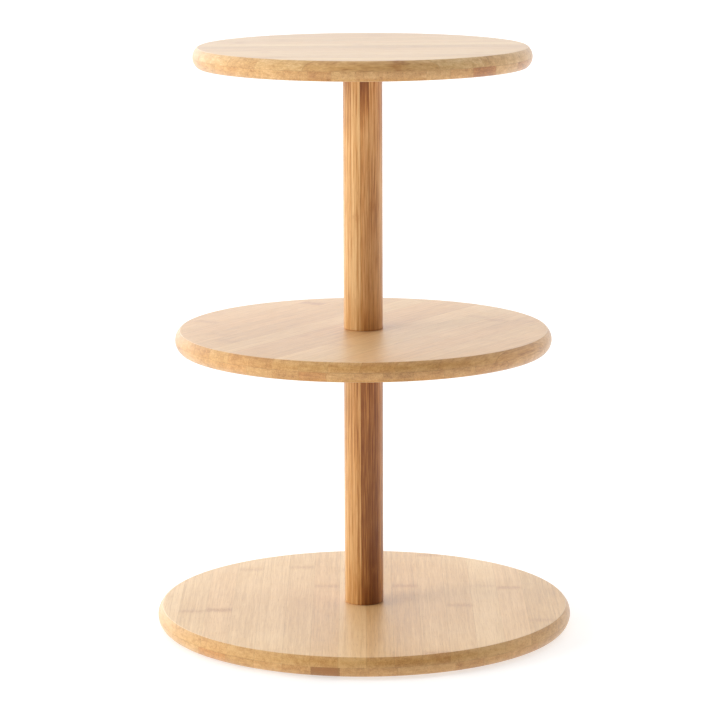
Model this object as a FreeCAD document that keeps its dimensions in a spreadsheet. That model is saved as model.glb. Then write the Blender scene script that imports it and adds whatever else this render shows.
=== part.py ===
import FreeCAD, Part
import math
import os

import Sketcher

# A three-tier round riser in laminated bamboo, made as it comes apart on a bench.
# Each plate is two boards glued face to face. Two turned posts stand between the plates.
# A bolt, two studs and five threaded inserts on the centre line pull everything together.
#
# Frame: millimetres, +Z up, the origin on the worktop at the centre of the base, and the front
# towards -Y.

PARTS_FOLDER = "parts"

SIZES = {
    # plates
    "base_radius": 150,
    "middle_radius": 135,
    "top_radius": 120,
    "ply_thickness": 7,
    "edge_radius": 8.9,  # of the cutter that rounds the plates' edges
    "arris_radius": 0.8,
    # posts
    "post_radius": 14,
    "post_length": 188,
    "post_end_chamfer": 0.6,
    # holes through and into the plates
    "clearance_hole_radius": 3.3,
    "counterbore_radius": 9.5,
    "counterbore_depth": 5.2,
    # M6 hardware
    "thread_radius": 3,
    "insert_radius": 5,
    "insert_length": 13,
    "plate_insert_length": 9.5,
    "insert_end_chamfer": 0.5,
    "insert_groove_depth": 0.7,
    "insert_groove_width": 1.3,
    "insert_groove_pitch": 2.4,
    "insert_first_groove": 2.2,
    "drill_point_room": 2,  # left beyond an insert in a post
    "plate_drill_point_room": 1,
    "stud_bite": 11,  # how far a stud or the bolt reaches into an insert in a post
    "plate_stud_bite": 8.5,
    "stud_end_chamfer": 0.6,
    "washer_radius": 9,
    "washer_hole_radius": 3.2,
    "washer_thickness": 1.6,
    "washer_edge_radius": 0.3,
    "bolt_head_radius": 5.25,
    "bolt_head_height": 3.3,
    "bolt_head_flat_radius": 3,
    "bolt_dome_radius": 5,
    "bolt_key_flats": 4,
    "bolt_key_depth": 2.1,
    # feet
    "foot_radius": 8,
    "foot_thickness": 2,
    "foot_edge_radius": 0.6,
    "foot_circle_radius": 118,
}
INSERT_GROOVES = {"insert_length": 4, "plate_insert_length": 3}
SAME = 0.001  # two lengths closer than this are one
X_AXIS, Z_AXIS = FreeCAD.Vector(1, 0, 0), FreeCAD.Vector(0, 0, 1)
FOOT_ANGLES = {"foot_pad_1": 45, "foot_pad_2": 135, "foot_pad_3": 225, "foot_pad_4": 315}

doc = FreeCAD.newDocument("tiered_riser")
sheet = doc.addObject("Spreadsheet::Sheet", "Sizes")
for row, (alias, value) in enumerate(SIZES.items(), start=1):
    sheet.set(f"A{row}", alias)
    sheet.set(f"B{row}", str(value))
    sheet.setAlias(f"B{row}", alias)
doc.recompute()


# Expressions: a size is a cell of the sheet, and a height is the sum of the cells below it.
def size(alias):
    return f"Sizes.{alias}"


def above(level, *aliases):
    return " + ".join([level, *map(size, aliases)])


BASE_BOTTOM = size("foot_thickness")
BASE_GLUE = above(BASE_BOTTOM, "ply_thickness")
LOWER_POST_FOOT = above(BASE_GLUE, "ply_thickness")
MIDDLE_BOTTOM = above(LOWER_POST_FOOT, "post_length")
MIDDLE_GLUE = above(MIDDLE_BOTTOM, "ply_thickness")
UPPER_POST_FOOT = above(MIDDLE_GLUE, "ply_thickness")
TOP_BOTTOM = above(UPPER_POST_FOOT, "post_length")
TOP_GLUE = above(TOP_BOTTOM, "ply_thickness")
PLATE_THICKNESS = "2 * " + size("ply_thickness")
BOLT_SEAT = above(BASE_BOTTOM, "counterbore_depth")


# Building blocks shared by the sub-parts.
def new_body(name, level, x="0", y="0", turned_over=False):
    """A sub-part whose own origin lies at a height. Turned over, it is drawn upside down."""
    body = doc.addObject("PartDesign::Body", name)
    body.Label = name
    angle = 180 if turned_over else 0
    body.Placement = FreeCAD.Placement(FreeCAD.Vector(), FreeCAD.Rotation(X_AXIS, angle))
    body.setExpression("Placement.Base.x", x)
    body.setExpression("Placement.Base.y", y)
    body.setExpression("Placement.Base.z", level)
    return body


def new_sketch(body, name, plane="XY_Plane"):
    """A sketch on one of the body's own origin planes."""
    sketch = body.newObject("Sketcher::SketchObject", name)
    planes = {feature.Role: feature for feature in body.Origin.OriginFeatures}
    sketch.AttachmentSupport = [(planes[plane], "")]
    sketch.MapMode = "FlatFace"
    return sketch


def bind(sketch, constraint, expression):
    """Adds a size to a sketch and ties it to the sheet."""
    index = sketch.addConstraint(constraint)
    sketch.setExpression(f"Constraints[{index}]", expression)


def circle_sketch(body, name, radius):
    sketch = new_sketch(body, name)
    circle = sketch.addGeometry(Part.Circle(FreeCAD.Vector(), Z_AXIS, 1))
    sketch.addConstraint(Sketcher.Constraint("Coincident", circle, 3, -1, 1))
    bind(sketch, Sketcher.Constraint("Radius", circle, 1), radius)
    return sketch


def hexagon_sketch(body, name, flats):
    """A hexagon centred on the axis, sized by the distance across its flats."""
    sketch = new_sketch(body, name)
    turns = [math.radians(angle) for angle in range(0, 360, 60)]
    corners = [FreeCAD.Vector(math.cos(turn), math.sin(turn), 0) for turn in turns]
    sides = zip(corners, corners[1:] + corners[:1])
    lines = [sketch.addGeometry(Part.LineSegment(*side)) for side in sides]
    guide = sketch.addGeometry(Part.Circle(FreeCAD.Vector(), Z_AXIS, 1), True)
    sketch.addConstraint(Sketcher.Constraint("Coincident", guide, 3, -1, 1))
    for line, following in zip(lines, lines[1:] + lines[:1]):
        sketch.addConstraint(Sketcher.Constraint("Coincident", line, 2, following, 1))
        sketch.addConstraint(Sketcher.Constraint("PointOnObject", line, 1, guide))
    for line in lines[1:]:
        sketch.addConstraint(Sketcher.Constraint("Equal", lines[0], line))
    sketch.addConstraint(Sketcher.Constraint("PointOnObject", lines[0], 1, -1))
    bind(sketch, Sketcher.Constraint("Radius", guide, 1), f"{flats} / sqrt(3)")
    return sketch


def pad(body, sketch, length, upwards=True):
    feature = body.newObject("PartDesign::Pad", sketch.Name + "_pad")
    feature.Profile = sketch
    feature.setExpression("Length", length)
    feature.Reversed = not upwards
    doc.recompute()
    return feature


def cut(body, sketch, depth, upwards=True):
    """A pocket from the sketch's plane. It stops the build if it takes nothing away."""
    before = body.Shape.Volume
    feature = body.newObject("PartDesign::Pocket", sketch.Name + "_cut")
    feature.Profile = sketch
    feature.setExpression("Length", depth)
    feature.Reversed = upwards
    doc.recompute()
    if body.Shape.Volume >= before:
        raise ValueError(f"{feature.Name} cuts nothing")
    return feature


def lift(sketch, level):
    """Raises a sketch above its plane."""
    sketch.setExpression("AttachmentOffset.Base.z", level)


def circles_at(shape, level, radius):
    """Names of the shape's whole-circle edges at one height and radius."""
    names = []
    for number, edge in enumerate(shape.Edges, start=1):
        curve = edge.Curve
        if isinstance(curve, Part.Circle):
            if abs(curve.Radius - radius) < SAME and abs(curve.Center.z - level) < SAME:
                names.append(f"Edge{number}")
    if not names:
        raise ValueError(f"no circle of radius {radius} at {level}")
    return names


def dress(body, kind, circles, amount):
    """A Fillet or Chamfer on the circles given as (height, radius) in the body's own frame."""
    base = body.Tip
    edges = [name for level, radius in circles for name in circles_at(base.Shape, level, radius)]
    feature = body.newObject("PartDesign::" + kind, f"{body.Name}_{kind.lower()}")
    feature.Base = (base, edges)
    feature.setExpression("Radius" if kind == "Fillet" else "Size", amount)
    doc.recompute()
    return feature


def revolve(body, sketch):
    feature = body.newObject("PartDesign::Revolution", sketch.Name + "_turned")
    feature.Profile = sketch
    feature.ReferenceAxis = (sketch, ["V_Axis"])
    feature.Angle = 360
    doc.recompute()
    return feature


def drill(body, name, radius, depth, start="0", upwards=True):
    """A round hole on the axis, from a height in the body's own frame."""
    sketch = circle_sketch(body, name, radius)
    lift(sketch, start)
    return cut(body, sketch, depth, upwards)


# The plates.
def make_ply(name, level, radius, turned_over):
    """One board of a plate, drawn with its glued face down. It is widest there, and its edge is an
    arc that runs in to the free face, so that a board and one turned over make a rounded edge."""
    body = new_body(name, level, turned_over=turned_over)
    sketch = new_sketch(body, name + "_section", "XZ_Plane")
    rim, thick = SIZES[radius], SIZES["ply_thickness"]
    big, small = SIZES["edge_radius"], SIZES["arris_radius"]
    big_centre = FreeCAD.Vector(rim - big, 0, 0)
    reach = math.sqrt((big - small) ** 2 - (thick - small) ** 2)
    small_centre = big_centre + FreeCAD.Vector(reach, thick - small, 0)
    turn = math.atan2(thick - small, reach)
    glued = sketch.addGeometry(Part.LineSegment(FreeCAD.Vector(), FreeCAD.Vector(rim, 0, 0)))
    edge = sketch.addGeometry(Part.ArcOfCircle(Part.Circle(big_centre, Z_AXIS, big), 0, turn))
    arris = sketch.addGeometry(Part.ArcOfCircle(Part.Circle(small_centre, Z_AXIS, small), turn, math.pi / 2))
    corner = FreeCAD.Vector(0, thick, 0)
    free = sketch.addGeometry(Part.LineSegment(FreeCAD.Vector(small_centre.x, thick, 0), corner))
    axis = sketch.addGeometry(Part.LineSegment(corner, FreeCAD.Vector()))
    sketch.addConstraint(
        [
            Sketcher.Constraint("Coincident", glued, 1, -1, 1),
            Sketcher.Constraint("Coincident", glued, 2, edge, 1),
            Sketcher.Constraint("Tangent", edge, 2, arris, 1),
            Sketcher.Constraint("Tangent", arris, 2, free, 1),
            Sketcher.Constraint("Coincident", free, 2, axis, 1),
            Sketcher.Constraint("Coincident", axis, 2, glued, 1),
            Sketcher.Constraint("Horizontal", glued),
            Sketcher.Constraint("Horizontal", free),
            Sketcher.Constraint("Vertical", axis),
            Sketcher.Constraint("PointOnObject", edge, 3, -1),
        ]
    )
    bind(sketch, Sketcher.Constraint("Distance", glued, rim), size(radius))
    bind(sketch, Sketcher.Constraint("Distance", axis, thick), size("ply_thickness"))
    bind(sketch, Sketcher.Constraint("Radius", edge, big), size("edge_radius"))
    bind(sketch, Sketcher.Constraint("Radius", arris, small), size("arris_radius"))
    revolve(body, sketch)
    return body


def make_plates():
    """The boards in pairs. Holes start at the glued face, and the counterbore at the free face."""
    thick, clearance, insert = size("ply_thickness"), size("clearance_hole_radius"), size("insert_radius")
    plies = []
    for plate, level in (("base", BASE_GLUE), ("middle", MIDDLE_GLUE), ("top", TOP_GLUE)):
        lower = make_ply(plate + "_lower_ply", level, plate + "_radius", turned_over=True)
        upper = make_ply(plate + "_upper_ply", level, plate + "_radius", turned_over=False)
        if plate == "top":
            blind = f"{size('plate_insert_length')} + {size('plate_drill_point_room')} - {thick}"
            drill(lower, "top_lower_hole", insert, thick)
            drill(upper, "top_blind_hole", insert, blind)
        else:
            drill(lower, plate + "_lower_hole", clearance, thick)
            drill(upper, plate + "_upper_hole", clearance, thick)
        if plate == "base":
            drill(lower, "counterbore", size("counterbore_radius"), size("counterbore_depth"), thick, False)
        plies += [lower, upper]
    return plies


# The posts.
def make_post(name, level):
    """A turned post with a chamfer and a blind hole for an insert at each end."""
    body = new_body(name, level)
    length = size("post_length")
    pad(body, circle_sketch(body, name + "_round", size("post_radius")), length)
    ends = [(end, SIZES["post_radius"]) for end in (0, SIZES["post_length"])]
    dress(body, "Chamfer", ends, size("post_end_chamfer"))
    depth = above(size("insert_length"), "drill_point_room")
    drill(body, name + "_foot_hole", size("insert_radius"), depth)
    drill(body, name + "_head_hole", size("insert_radius"), depth, length, upwards=False)
    return body


# The hardware on the centre line.
def groove_sketch(body, name):
    """The V between two rings of an insert's outer thread."""
    sketch = new_sketch(body, name, "XZ_Plane")
    outside, first = SIZES["insert_radius"], SIZES["insert_first_groove"]
    depth, width = SIZES["insert_groove_depth"], SIZES["insert_groove_width"]
    low = FreeCAD.Vector(outside, first - width / 2, 0)
    root = FreeCAD.Vector(outside - depth, first, 0)
    high = FreeCAD.Vector(outside, first + width / 2, 0)
    flank = sketch.addGeometry(Part.LineSegment(low, root))
    other_flank = sketch.addGeometry(Part.LineSegment(root, high))
    mouth = sketch.addGeometry(Part.LineSegment(high, low))
    sketch.addConstraint(
        [
            Sketcher.Constraint("Coincident", flank, 2, other_flank, 1),
            Sketcher.Constraint("Coincident", other_flank, 2, mouth, 1),
            Sketcher.Constraint("Coincident", mouth, 2, flank, 1),
            Sketcher.Constraint("Equal", flank, other_flank),
            Sketcher.Constraint("Vertical", mouth),
        ]
    )
    bind(sketch, Sketcher.Constraint("Distance", mouth, width), size("insert_groove_width"))
    bind(sketch, Sketcher.Constraint("DistanceX", -1, 1, mouth, 1, outside), size("insert_radius"))
    root_radius = f"{size('insert_radius')} - {size('insert_groove_depth')}"
    bind(sketch, Sketcher.Constraint("DistanceX", -1, 1, flank, 2, outside - depth), root_radius)
    bind(sketch, Sketcher.Constraint("DistanceY", -1, 1, flank, 2, first), size("insert_first_groove"))
    return sketch


def make_insert(name, level, length, turned_over):
    """A threaded insert, drawn with its mouth at its origin: a sleeve with rings outside."""
    body = new_body(name, level, turned_over=turned_over)
    pad(body, circle_sketch(body, name + "_outside", size("insert_radius")), size(length))
    drill(body, name + "_bore", size("thread_radius"), size(length))
    dress(body, "Chamfer", [(SIZES[length], SIZES["insert_radius"])], size("insert_end_chamfer"))
    smooth_volume = body.Shape.Volume
    sketch = groove_sketch(body, name + "_ring")
    groove = body.newObject("PartDesign::Groove", name + "_groove")
    groove.Profile = sketch
    groove.ReferenceAxis = (sketch, ["V_Axis"])
    groove.Angle = 360
    doc.recompute()
    pattern = body.newObject("PartDesign::LinearPattern", name + "_grooves")
    pattern.Originals = [groove]
    pattern.Direction = (sketch, ["V_Axis"])
    pattern.Occurrences = INSERT_GROOVES[length]
    pattern.setExpression("Length", f"{size('insert_groove_pitch')} * {pattern.Occurrences - 1}")
    body.Tip = pattern
    doc.recompute()
    if body.Shape.Volume >= smooth_volume:
        raise ValueError(f"{name} has no grooves")
    return body


def make_stud(name, level, length):
    """A headless stud with a chamfer at each end."""
    body = new_body(name, level)
    pad(body, circle_sketch(body, name + "_round", size("thread_radius")), length)
    ends = [(end, SIZES["thread_radius"]) for end in (0, body.Shape.BoundBox.ZLength)]
    dress(body, "Chamfer", ends, size("stud_end_chamfer"))
    return body


def make_bolt():
    """A button-head bolt, turned over so that its head is down. It is drawn head up, and its origin
    is where the head bears on the washer."""
    body = new_body("base_bolt", f"{BOLT_SEAT} - {size('washer_thickness')}", turned_over=True)
    sketch = new_sketch(body, "bolt_head_section", "XZ_Plane")
    brim, flat = SIZES["bolt_head_radius"], SIZES["bolt_head_flat_radius"]
    height, dome_radius = SIZES["bolt_head_height"], SIZES["bolt_dome_radius"]
    start, end = FreeCAD.Vector(brim, 0, 0), FreeCAD.Vector(flat, height, 0)
    chord = end - start
    inwards = FreeCAD.Vector(-chord.y, chord.x, 0).normalize()
    middle_to_centre = math.sqrt(dome_radius**2 - chord.Length**2 / 4)
    centre = (start + end) * 0.5 + inwards * middle_to_centre
    angles = [math.atan2(point.y - centre.y, point.x - centre.x) for point in (start, end)]
    under = sketch.addGeometry(Part.LineSegment(FreeCAD.Vector(), start))
    dome = sketch.addGeometry(Part.ArcOfCircle(Part.Circle(centre, Z_AXIS, dome_radius), *angles))
    face = sketch.addGeometry(Part.LineSegment(end, FreeCAD.Vector(0, height, 0)))
    axis = sketch.addGeometry(Part.LineSegment(FreeCAD.Vector(0, height, 0), FreeCAD.Vector()))
    sketch.addConstraint(
        [
            Sketcher.Constraint("Coincident", under, 1, -1, 1),
            Sketcher.Constraint("Coincident", under, 2, dome, 1),
            Sketcher.Constraint("Coincident", dome, 2, face, 1),
            Sketcher.Constraint("Coincident", face, 2, axis, 1),
            Sketcher.Constraint("Coincident", axis, 2, under, 1),
            Sketcher.Constraint("Horizontal", under),
            Sketcher.Constraint("Horizontal", face),
            Sketcher.Constraint("Vertical", axis),
        ]
    )
    bind(sketch, Sketcher.Constraint("Distance", under, brim), size("bolt_head_radius"))
    bind(sketch, Sketcher.Constraint("Distance", face, flat), size("bolt_head_flat_radius"))
    bind(sketch, Sketcher.Constraint("Distance", axis, height), size("bolt_head_height"))
    bind(sketch, Sketcher.Constraint("Radius", dome, dome_radius), size("bolt_dome_radius"))
    revolve(body, sketch)
    shank = circle_sketch(body, "bolt_shank", size("thread_radius"))
    through_plate = f"{size('washer_thickness')} + {PLATE_THICKNESS} - {size('counterbore_depth')}"
    pad(body, shank, above(through_plate, "stud_bite"), upwards=False)
    tip = body.Shape.BoundBox.ZMax - body.Placement.Base.z
    dress(body, "Chamfer", [(-tip, SIZES["thread_radius"])], size("stud_end_chamfer"))
    key = hexagon_sketch(body, "bolt_key", size("bolt_key_flats"))
    lift(key, size("bolt_head_height"))
    cut(body, key, size("bolt_key_depth"), upwards=False)
    return body


def make_washer():
    body = new_body("base_washer", f"{BOLT_SEAT} - {size('washer_thickness')}")
    pad(body, circle_sketch(body, "washer_round", size("washer_radius")), size("washer_thickness"))
    drill(body, "washer_hole", size("washer_hole_radius"), size("washer_thickness"))
    dress(body, "Fillet", [(0, SIZES["washer_radius"])], size("washer_edge_radius"))
    return body


def make_hardware():
    """Everything on the axis, from the floor up. An insert in the head of a post is turned over."""
    bite, plate_bite = size("stud_bite"), size("plate_stud_bite")
    return [
        make_bolt(),
        make_washer(),
        make_insert("lower_post_foot_insert", LOWER_POST_FOOT, "insert_length", turned_over=False),
        make_insert("lower_post_head_insert", MIDDLE_BOTTOM, "insert_length", turned_over=True),
        make_stud("middle_stud", f"{MIDDLE_BOTTOM} - {bite}", f"{PLATE_THICKNESS} + 2 * {bite}"),
        make_insert("upper_post_foot_insert", UPPER_POST_FOOT, "insert_length", turned_over=False),
        make_insert("upper_post_head_insert", TOP_BOTTOM, "insert_length", turned_over=True),
        make_stud("top_stud", f"{TOP_BOTTOM} - {bite}", f"{plate_bite} + {bite}"),
        make_insert("top_plate_insert", TOP_BOTTOM, "plate_insert_length", turned_over=False),
    ]


# The feet.
def make_foot(name, angle):
    """A thin round pad under the base, its lower edge rounded."""
    reach = size("foot_circle_radius")
    body = new_body(name, "0", f"{reach} * cos({angle} deg)", f"{reach} * sin({angle} deg)")
    pad(body, circle_sketch(body, name + "_round", size("foot_radius")), size("foot_thickness"))
    dress(body, "Fillet", [(0, SIZES["foot_radius"])], size("foot_edge_radius"))
    return body


pieces = make_plates()
pieces += [make_post("lower_post", LOWER_POST_FOOT), make_post("upper_post", UPPER_POST_FOOT)]
pieces += make_hardware()
pieces += [make_foot(name, angle) for name, angle in FOOT_ANGLES.items()]
doc.recompute()

for thing in doc.Objects:
    if "Invalid" in thing.State or "Error" in thing.State:
        raise ValueError(f"{thing.Name} failed: {thing.State}")
for piece in pieces:
    if piece.Shape.isNull() or not piece.Shape.isValid() or len(piece.Shape.Solids) != 1:
        raise ValueError(f"{piece.Label} isn't one valid solid")

os.makedirs(PARTS_FOLDER, exist_ok=True)
for piece in pieces:
    piece.Shape.exportStep(os.path.join(PARTS_FOLDER, piece.Label + ".step"))
    box = piece.Shape.optimalBoundingBox()
    heights = f"from {box.ZMin:7.2f} to {box.ZMax:7.2f}"
    print(f"{piece.Label:24} {heights}, {box.XLength:6.2f} wide, {piece.Shape.Volume:9.0f} mm3")
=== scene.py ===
# %% [markdown]
# # A three-tier riser in laminated bamboo
#
# The real stand is three round plates on one straight post. Each plate is two bamboo boards glued
# face to face, and each board is made of strips about as wide as a thumb. The post is in two
# lengths, turned from narrower strips. Bolts and threaded inserts on the centre line pull it all
# together, out of sight.
#
# The packed model already holds every piece at its real size and place. This lesson turns each piece
# again on a lathe made of a few lines of Python, finely enough to shine well, and then makes the
# bamboo itself out of shader nodes.

# %% Load the frame
import math
import random
from dataclasses import dataclass

import bmesh
import bpy
from mathutils import Matrix, Vector


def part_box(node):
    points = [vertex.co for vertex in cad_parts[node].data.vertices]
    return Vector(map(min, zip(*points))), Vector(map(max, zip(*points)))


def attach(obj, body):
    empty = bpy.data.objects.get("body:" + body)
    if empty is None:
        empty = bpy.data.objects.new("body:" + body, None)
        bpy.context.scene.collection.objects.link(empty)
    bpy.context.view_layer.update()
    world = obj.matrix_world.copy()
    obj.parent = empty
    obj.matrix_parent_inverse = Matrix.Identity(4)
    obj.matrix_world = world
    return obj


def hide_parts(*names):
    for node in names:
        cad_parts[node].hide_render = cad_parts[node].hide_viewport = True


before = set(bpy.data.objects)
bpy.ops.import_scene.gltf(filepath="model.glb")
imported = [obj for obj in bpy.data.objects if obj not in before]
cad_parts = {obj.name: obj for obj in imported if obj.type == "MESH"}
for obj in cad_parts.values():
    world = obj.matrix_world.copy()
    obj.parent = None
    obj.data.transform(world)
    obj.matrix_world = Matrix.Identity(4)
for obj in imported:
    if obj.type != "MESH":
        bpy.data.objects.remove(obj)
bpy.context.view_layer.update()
MM = 0.001
print("pieces in the frame:", len(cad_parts))

# %% [markdown]
# ## Measure before cutting
#
# A maker measures the work in hand and doesn't trust a drawing. Every size below is read from the
# frame's own boxes, so if the design changes, the looks follow it. Only sizes that a box can't
# give, such as a cutter's radius or a screw's pitch, are written here.

# %% Measure the plates and posts
PLATES = ("base", "middle", "top")


def rise(node):
    """The lowest and highest points of a node."""
    low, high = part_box(node)
    return low.z, high.z


def half_width(node):
    low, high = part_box(node)
    return (high.x - low.x) / 2


glue_level = {plate: rise(plate + "_upper_ply")[0] for plate in PLATES}
board_thickness = rise("base_upper_ply")[1] - glue_level["base"]
post_radius = half_width("lower_post")
thread_radius = half_width("middle_stud")
insert_radius = half_width("top_plate_insert")
EDGE_CUTTER = 8.9 * MM  # radius of the cutter that rounds the rim
ARRIS = 0.8 * MM  # the last soft corner between rim and face
for plate in PLATES:
    radius = half_width(plate + "_upper_ply")
    print(f"{plate} plate: radius {radius / MM:.1f} mm, glue line at {glue_level[plate] / MM:.1f} mm")


# %% [markdown]
# ## A lathe in twenty lines
#
# Nearly everything here was made on a lathe or is as round as if it had been. Blender has a Screw
# modifier and a Spin tool for that, but a short function that places each ring of points itself is
# easier to trust: it closes the mesh at the ends, it takes a ring whose radius changes with the
# angle (a hexagon key, a screw thread), and the faces come out as clean quads.

# %% The lathe
def turn(name, rings, segments=192, closed=False, sharp_degrees=24):
    """A mesh from rings of (radius, height). A radius of 0 is a single point, and a radius may be a
    function of angle and height. closed joins the last ring to the first, as for a sleeve."""
    mesh = bmesh.new()
    made = []
    for radius, height in rings:
        if radius == 0:
            made.append([mesh.verts.new((0, 0, height))])
            continue
        ring = []
        for step in range(segments):
            angle = math.tau * step / segments
            reach = radius(angle, height) if callable(radius) else radius
            ring.append(mesh.verts.new((reach * math.cos(angle), reach * math.sin(angle), height)))
        made.append(ring)
    pairs = list(zip(made, made[1:] + made[:1])) if closed else list(zip(made, made[1:]))
    for below, above in pairs:
        for step in range(segments):
            after = (step + 1) % segments
            if len(below) == 1:
                mesh.faces.new((below[0], above[after], above[step]))
            elif len(above) == 1:
                mesh.faces.new((below[step], below[after], above[0]))
            else:
                mesh.faces.new((below[step], below[after], above[after], above[step]))
    bmesh.ops.recalc_face_normals(mesh, faces=mesh.faces)
    data = bpy.data.meshes.new(name)
    mesh.to_mesh(data)
    mesh.free()
    data.shade_smooth()
    data.set_sharp_from_angle(angle=math.radians(sharp_degrees))
    piece = bpy.data.objects.new(name, data)
    bpy.context.scene.collection.objects.link(piece)
    return piece


def arc(centre_radius, centre_height, radius, start, end, steps):
    """Rings along a round corner, from one angle to another, in degrees above the horizontal."""
    turns = [math.radians(start + (end - start) * step / steps) for step in range(steps + 1)]
    return [(centre_radius + radius * math.cos(t), centre_height + radius * math.sin(t)) for t in turns]


# %% [markdown]
# ## The six boards
#
# A board's section is a flat glued face, a rim that is part of a big circle, a soft arris and a flat
# free face. The rim's circle is centred on the glue line, so two boards, one turned over, make one
# rounded edge. A real glue line is never quite flush: sanding leaves a hair-fine step that catches
# the light, so the glued corner is eased by a few hundredths of a millimetre.
#
# Three kinds of hole go through them: a clearance hole for the screw thread, a counterbore under the
# base for the bolt's head, and a stopped hole in the top plate, so that nothing shows from above.

# %% The section of a board
EASE = 0.04 * MM
FACE_RINGS = (0, 0.12, 0.3, 0.5, 0.75)  # where rings lie on a face, from its hole to its edge


def board_section(radius, glue, way, glued_hole, free_hole, step_at):
    """Rings of one board from its glued face round to its free face, and back through the hole. way
    is 1 above the glue line and -1 below. step_at is the height where the hole changes its radius."""
    drop = EDGE_CUTTER - ARRIS
    lean = math.degrees(math.asin((board_thickness - ARRIS) / drop))
    corner = radius - EDGE_CUTTER + drop * math.cos(math.radians(lean))
    start = math.degrees(math.asin(EASE / EDGE_CUTTER))
    rim = arc(radius - EDGE_CUTTER, 0, EDGE_CUTTER, start, lean, 14)
    rim += arc(corner, board_thickness - ARRIS, ARRIS, lean, 90, 6)[1:]
    glued_face = [(glued_hole + (corner - glued_hole) * share, 0) for share in FACE_RINGS]
    free_face = [(free_hole + (corner - free_hole) * share, board_thickness) for share in FACE_RINGS]
    free_face.reverse()
    rings = [*glued_face, (radius - EASE, 0), *rim, *free_face]
    if free_hole == 0:
        rings = [(0, step_at), (glued_hole, step_at), *rings]
    elif free_hole != glued_hole:
        rings += [(free_hole, step_at), (glued_hole, step_at)]
    return [(reach, glue + way * height) for reach, height in rings]


print(f"a board is {board_thickness / MM:.1f} mm thick")

# %% Turn the boards
CLEARANCE_HOLE = 3.3 * MM
COUNTERBORE = 9.5 * MM
DRILL_ROOM = 1.0 * MM  # left above the insert in the top plate
seat = rise("base_washer")[1] - rise("base_lower_ply")[0]
blind_depth = rise("top_plate_insert")[1] + DRILL_ROOM - glue_level["top"]
boards = {}
for plate in PLATES:
    for side, way in (("upper", 1), ("lower", -1)):
        node = f"{plate}_{side}_ply"
        holes = (CLEARANCE_HOLE, CLEARANCE_HOLE, 0)
        if node == "base_lower_ply":
            holes = (CLEARANCE_HOLE, COUNTERBORE, board_thickness - seat)
        elif node == "top_lower_ply":
            holes = (insert_radius, insert_radius, 0)
        elif node == "top_upper_ply":
            holes = (insert_radius, 0, blind_depth)
        rings = board_section(half_width(node), glue_level[plate], way, *holes)
        boards[node] = turn(node + "_board", rings, segments=256, closed=holes[1] > 0)
print("boards turned:", len(boards))

# %% [markdown]
# ## The two posts
#
# Each post is a plain cylinder with a small chamfer at both ends, so that its corners don't bruise
# the plates when it is screwed up tight. Both ends are drilled on the axis for a threaded insert.

# %% Turn the posts
POST_CHAMFER = 0.6 * MM
HOLE_ROOM = 2.0 * MM  # left beyond an insert
BANDS = 12  # quads along a post
insert_length = rise("lower_post_foot_insert")[1] - rise("lower_post_foot_insert")[0]
hole_depth = insert_length + HOLE_ROOM
posts = {}
for node in ("lower_post", "upper_post"):
    foot, head = rise(node)
    side = head - foot - 2 * POST_CHAMFER
    heights = [foot + POST_CHAMFER + side * band / BANDS for band in range(BANDS + 1)]
    rings = [(0, foot + hole_depth), (insert_radius, foot + hole_depth), (insert_radius, foot)]
    rings += [(post_radius - POST_CHAMFER, foot), *[(post_radius, height) for height in heights]]
    rings += [(post_radius - POST_CHAMFER, head), (insert_radius, head)]
    rings += [(insert_radius, head - hole_depth), (0, head - hole_depth)]
    posts[node] = turn(node + "_turned", rings, segments=144)
print("posts turned:", len(posts))

# %% [markdown]
# ## Screw threads
#
# The hardware is ordinary M6, which rises one millimetre a turn. Here a thread is a radius that
# depends on the angle and the height together: walk round once and the same profile has climbed by
# one pitch. Every thread on the axis uses the same function of the same height, so a stud and the
# insert around it mesh, with a few hundredths of a millimetre between them.

# %% Threads
PITCH = 1.0 * MM
COARSE_PITCH = 2.4 * MM  # of the wood thread outside an insert
PLAY = 0.04 * MM
THREAD_DEPTH = 0.5 * MM
COARSE_DEPTH = 0.7 * MM
RINGS_PER_TURN = 6


def profile(angle, height, pitch):
    """0 at the root of a thread and 1 at its crest."""
    along = (height / pitch - angle / math.tau) % 1
    return min(1, max(0, 1.5 - abs(4 * along - 2)))


def male_thread(angle, height):
    return thread_radius - 0.05 * MM - THREAD_DEPTH * (1 - profile(angle, height, PITCH))


def female_thread(angle, height):
    return male_thread(angle, height) + PLAY


def coarse_thread(angle, height):
    return insert_radius - 0.03 * MM - COARSE_DEPTH * (1 - profile(angle, height, COARSE_PITCH)) ** 2


def levels(low, high, pitch):
    """Heights close enough together to draw a thread."""
    count = max(2, round((high - low) / pitch * RINGS_PER_TURN))
    return [low + (high - low) * step / count for step in range(count + 1)]


print(f"thread radius {thread_radius / MM:.1f} mm, insert radius {insert_radius / MM:.1f} mm")

# %% [markdown]
# ## Studs and inserts
#
# A stud is a screw with no head. It joins the two posts through the middle plate, and another joins
# the top plate to its post. An insert is a sleeve with a machine thread inside and a coarse wood
# thread outside. It is screwed into a drilled hole, so that a stand can be taken apart and put
# together many times without wearing the bamboo.

# %% Turn the studs and inserts
STUD_CHAMFER = 0.6 * MM
MOUTH = 0.5 * MM  # bevel at each end of an insert
fittings = {}
for node in ("middle_stud", "top_stud"):
    low, high = rise(node)
    tip = thread_radius - STUD_CHAMFER
    rings = [(0, low), (tip, low)]
    rings += [(male_thread, height) for height in levels(low + STUD_CHAMFER, high - STUD_CHAMFER, PITCH)]
    rings += [(tip, high), (0, high)]
    fittings[node] = turn(node + "_threaded", rings, segments=48, sharp_degrees=50)

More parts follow.
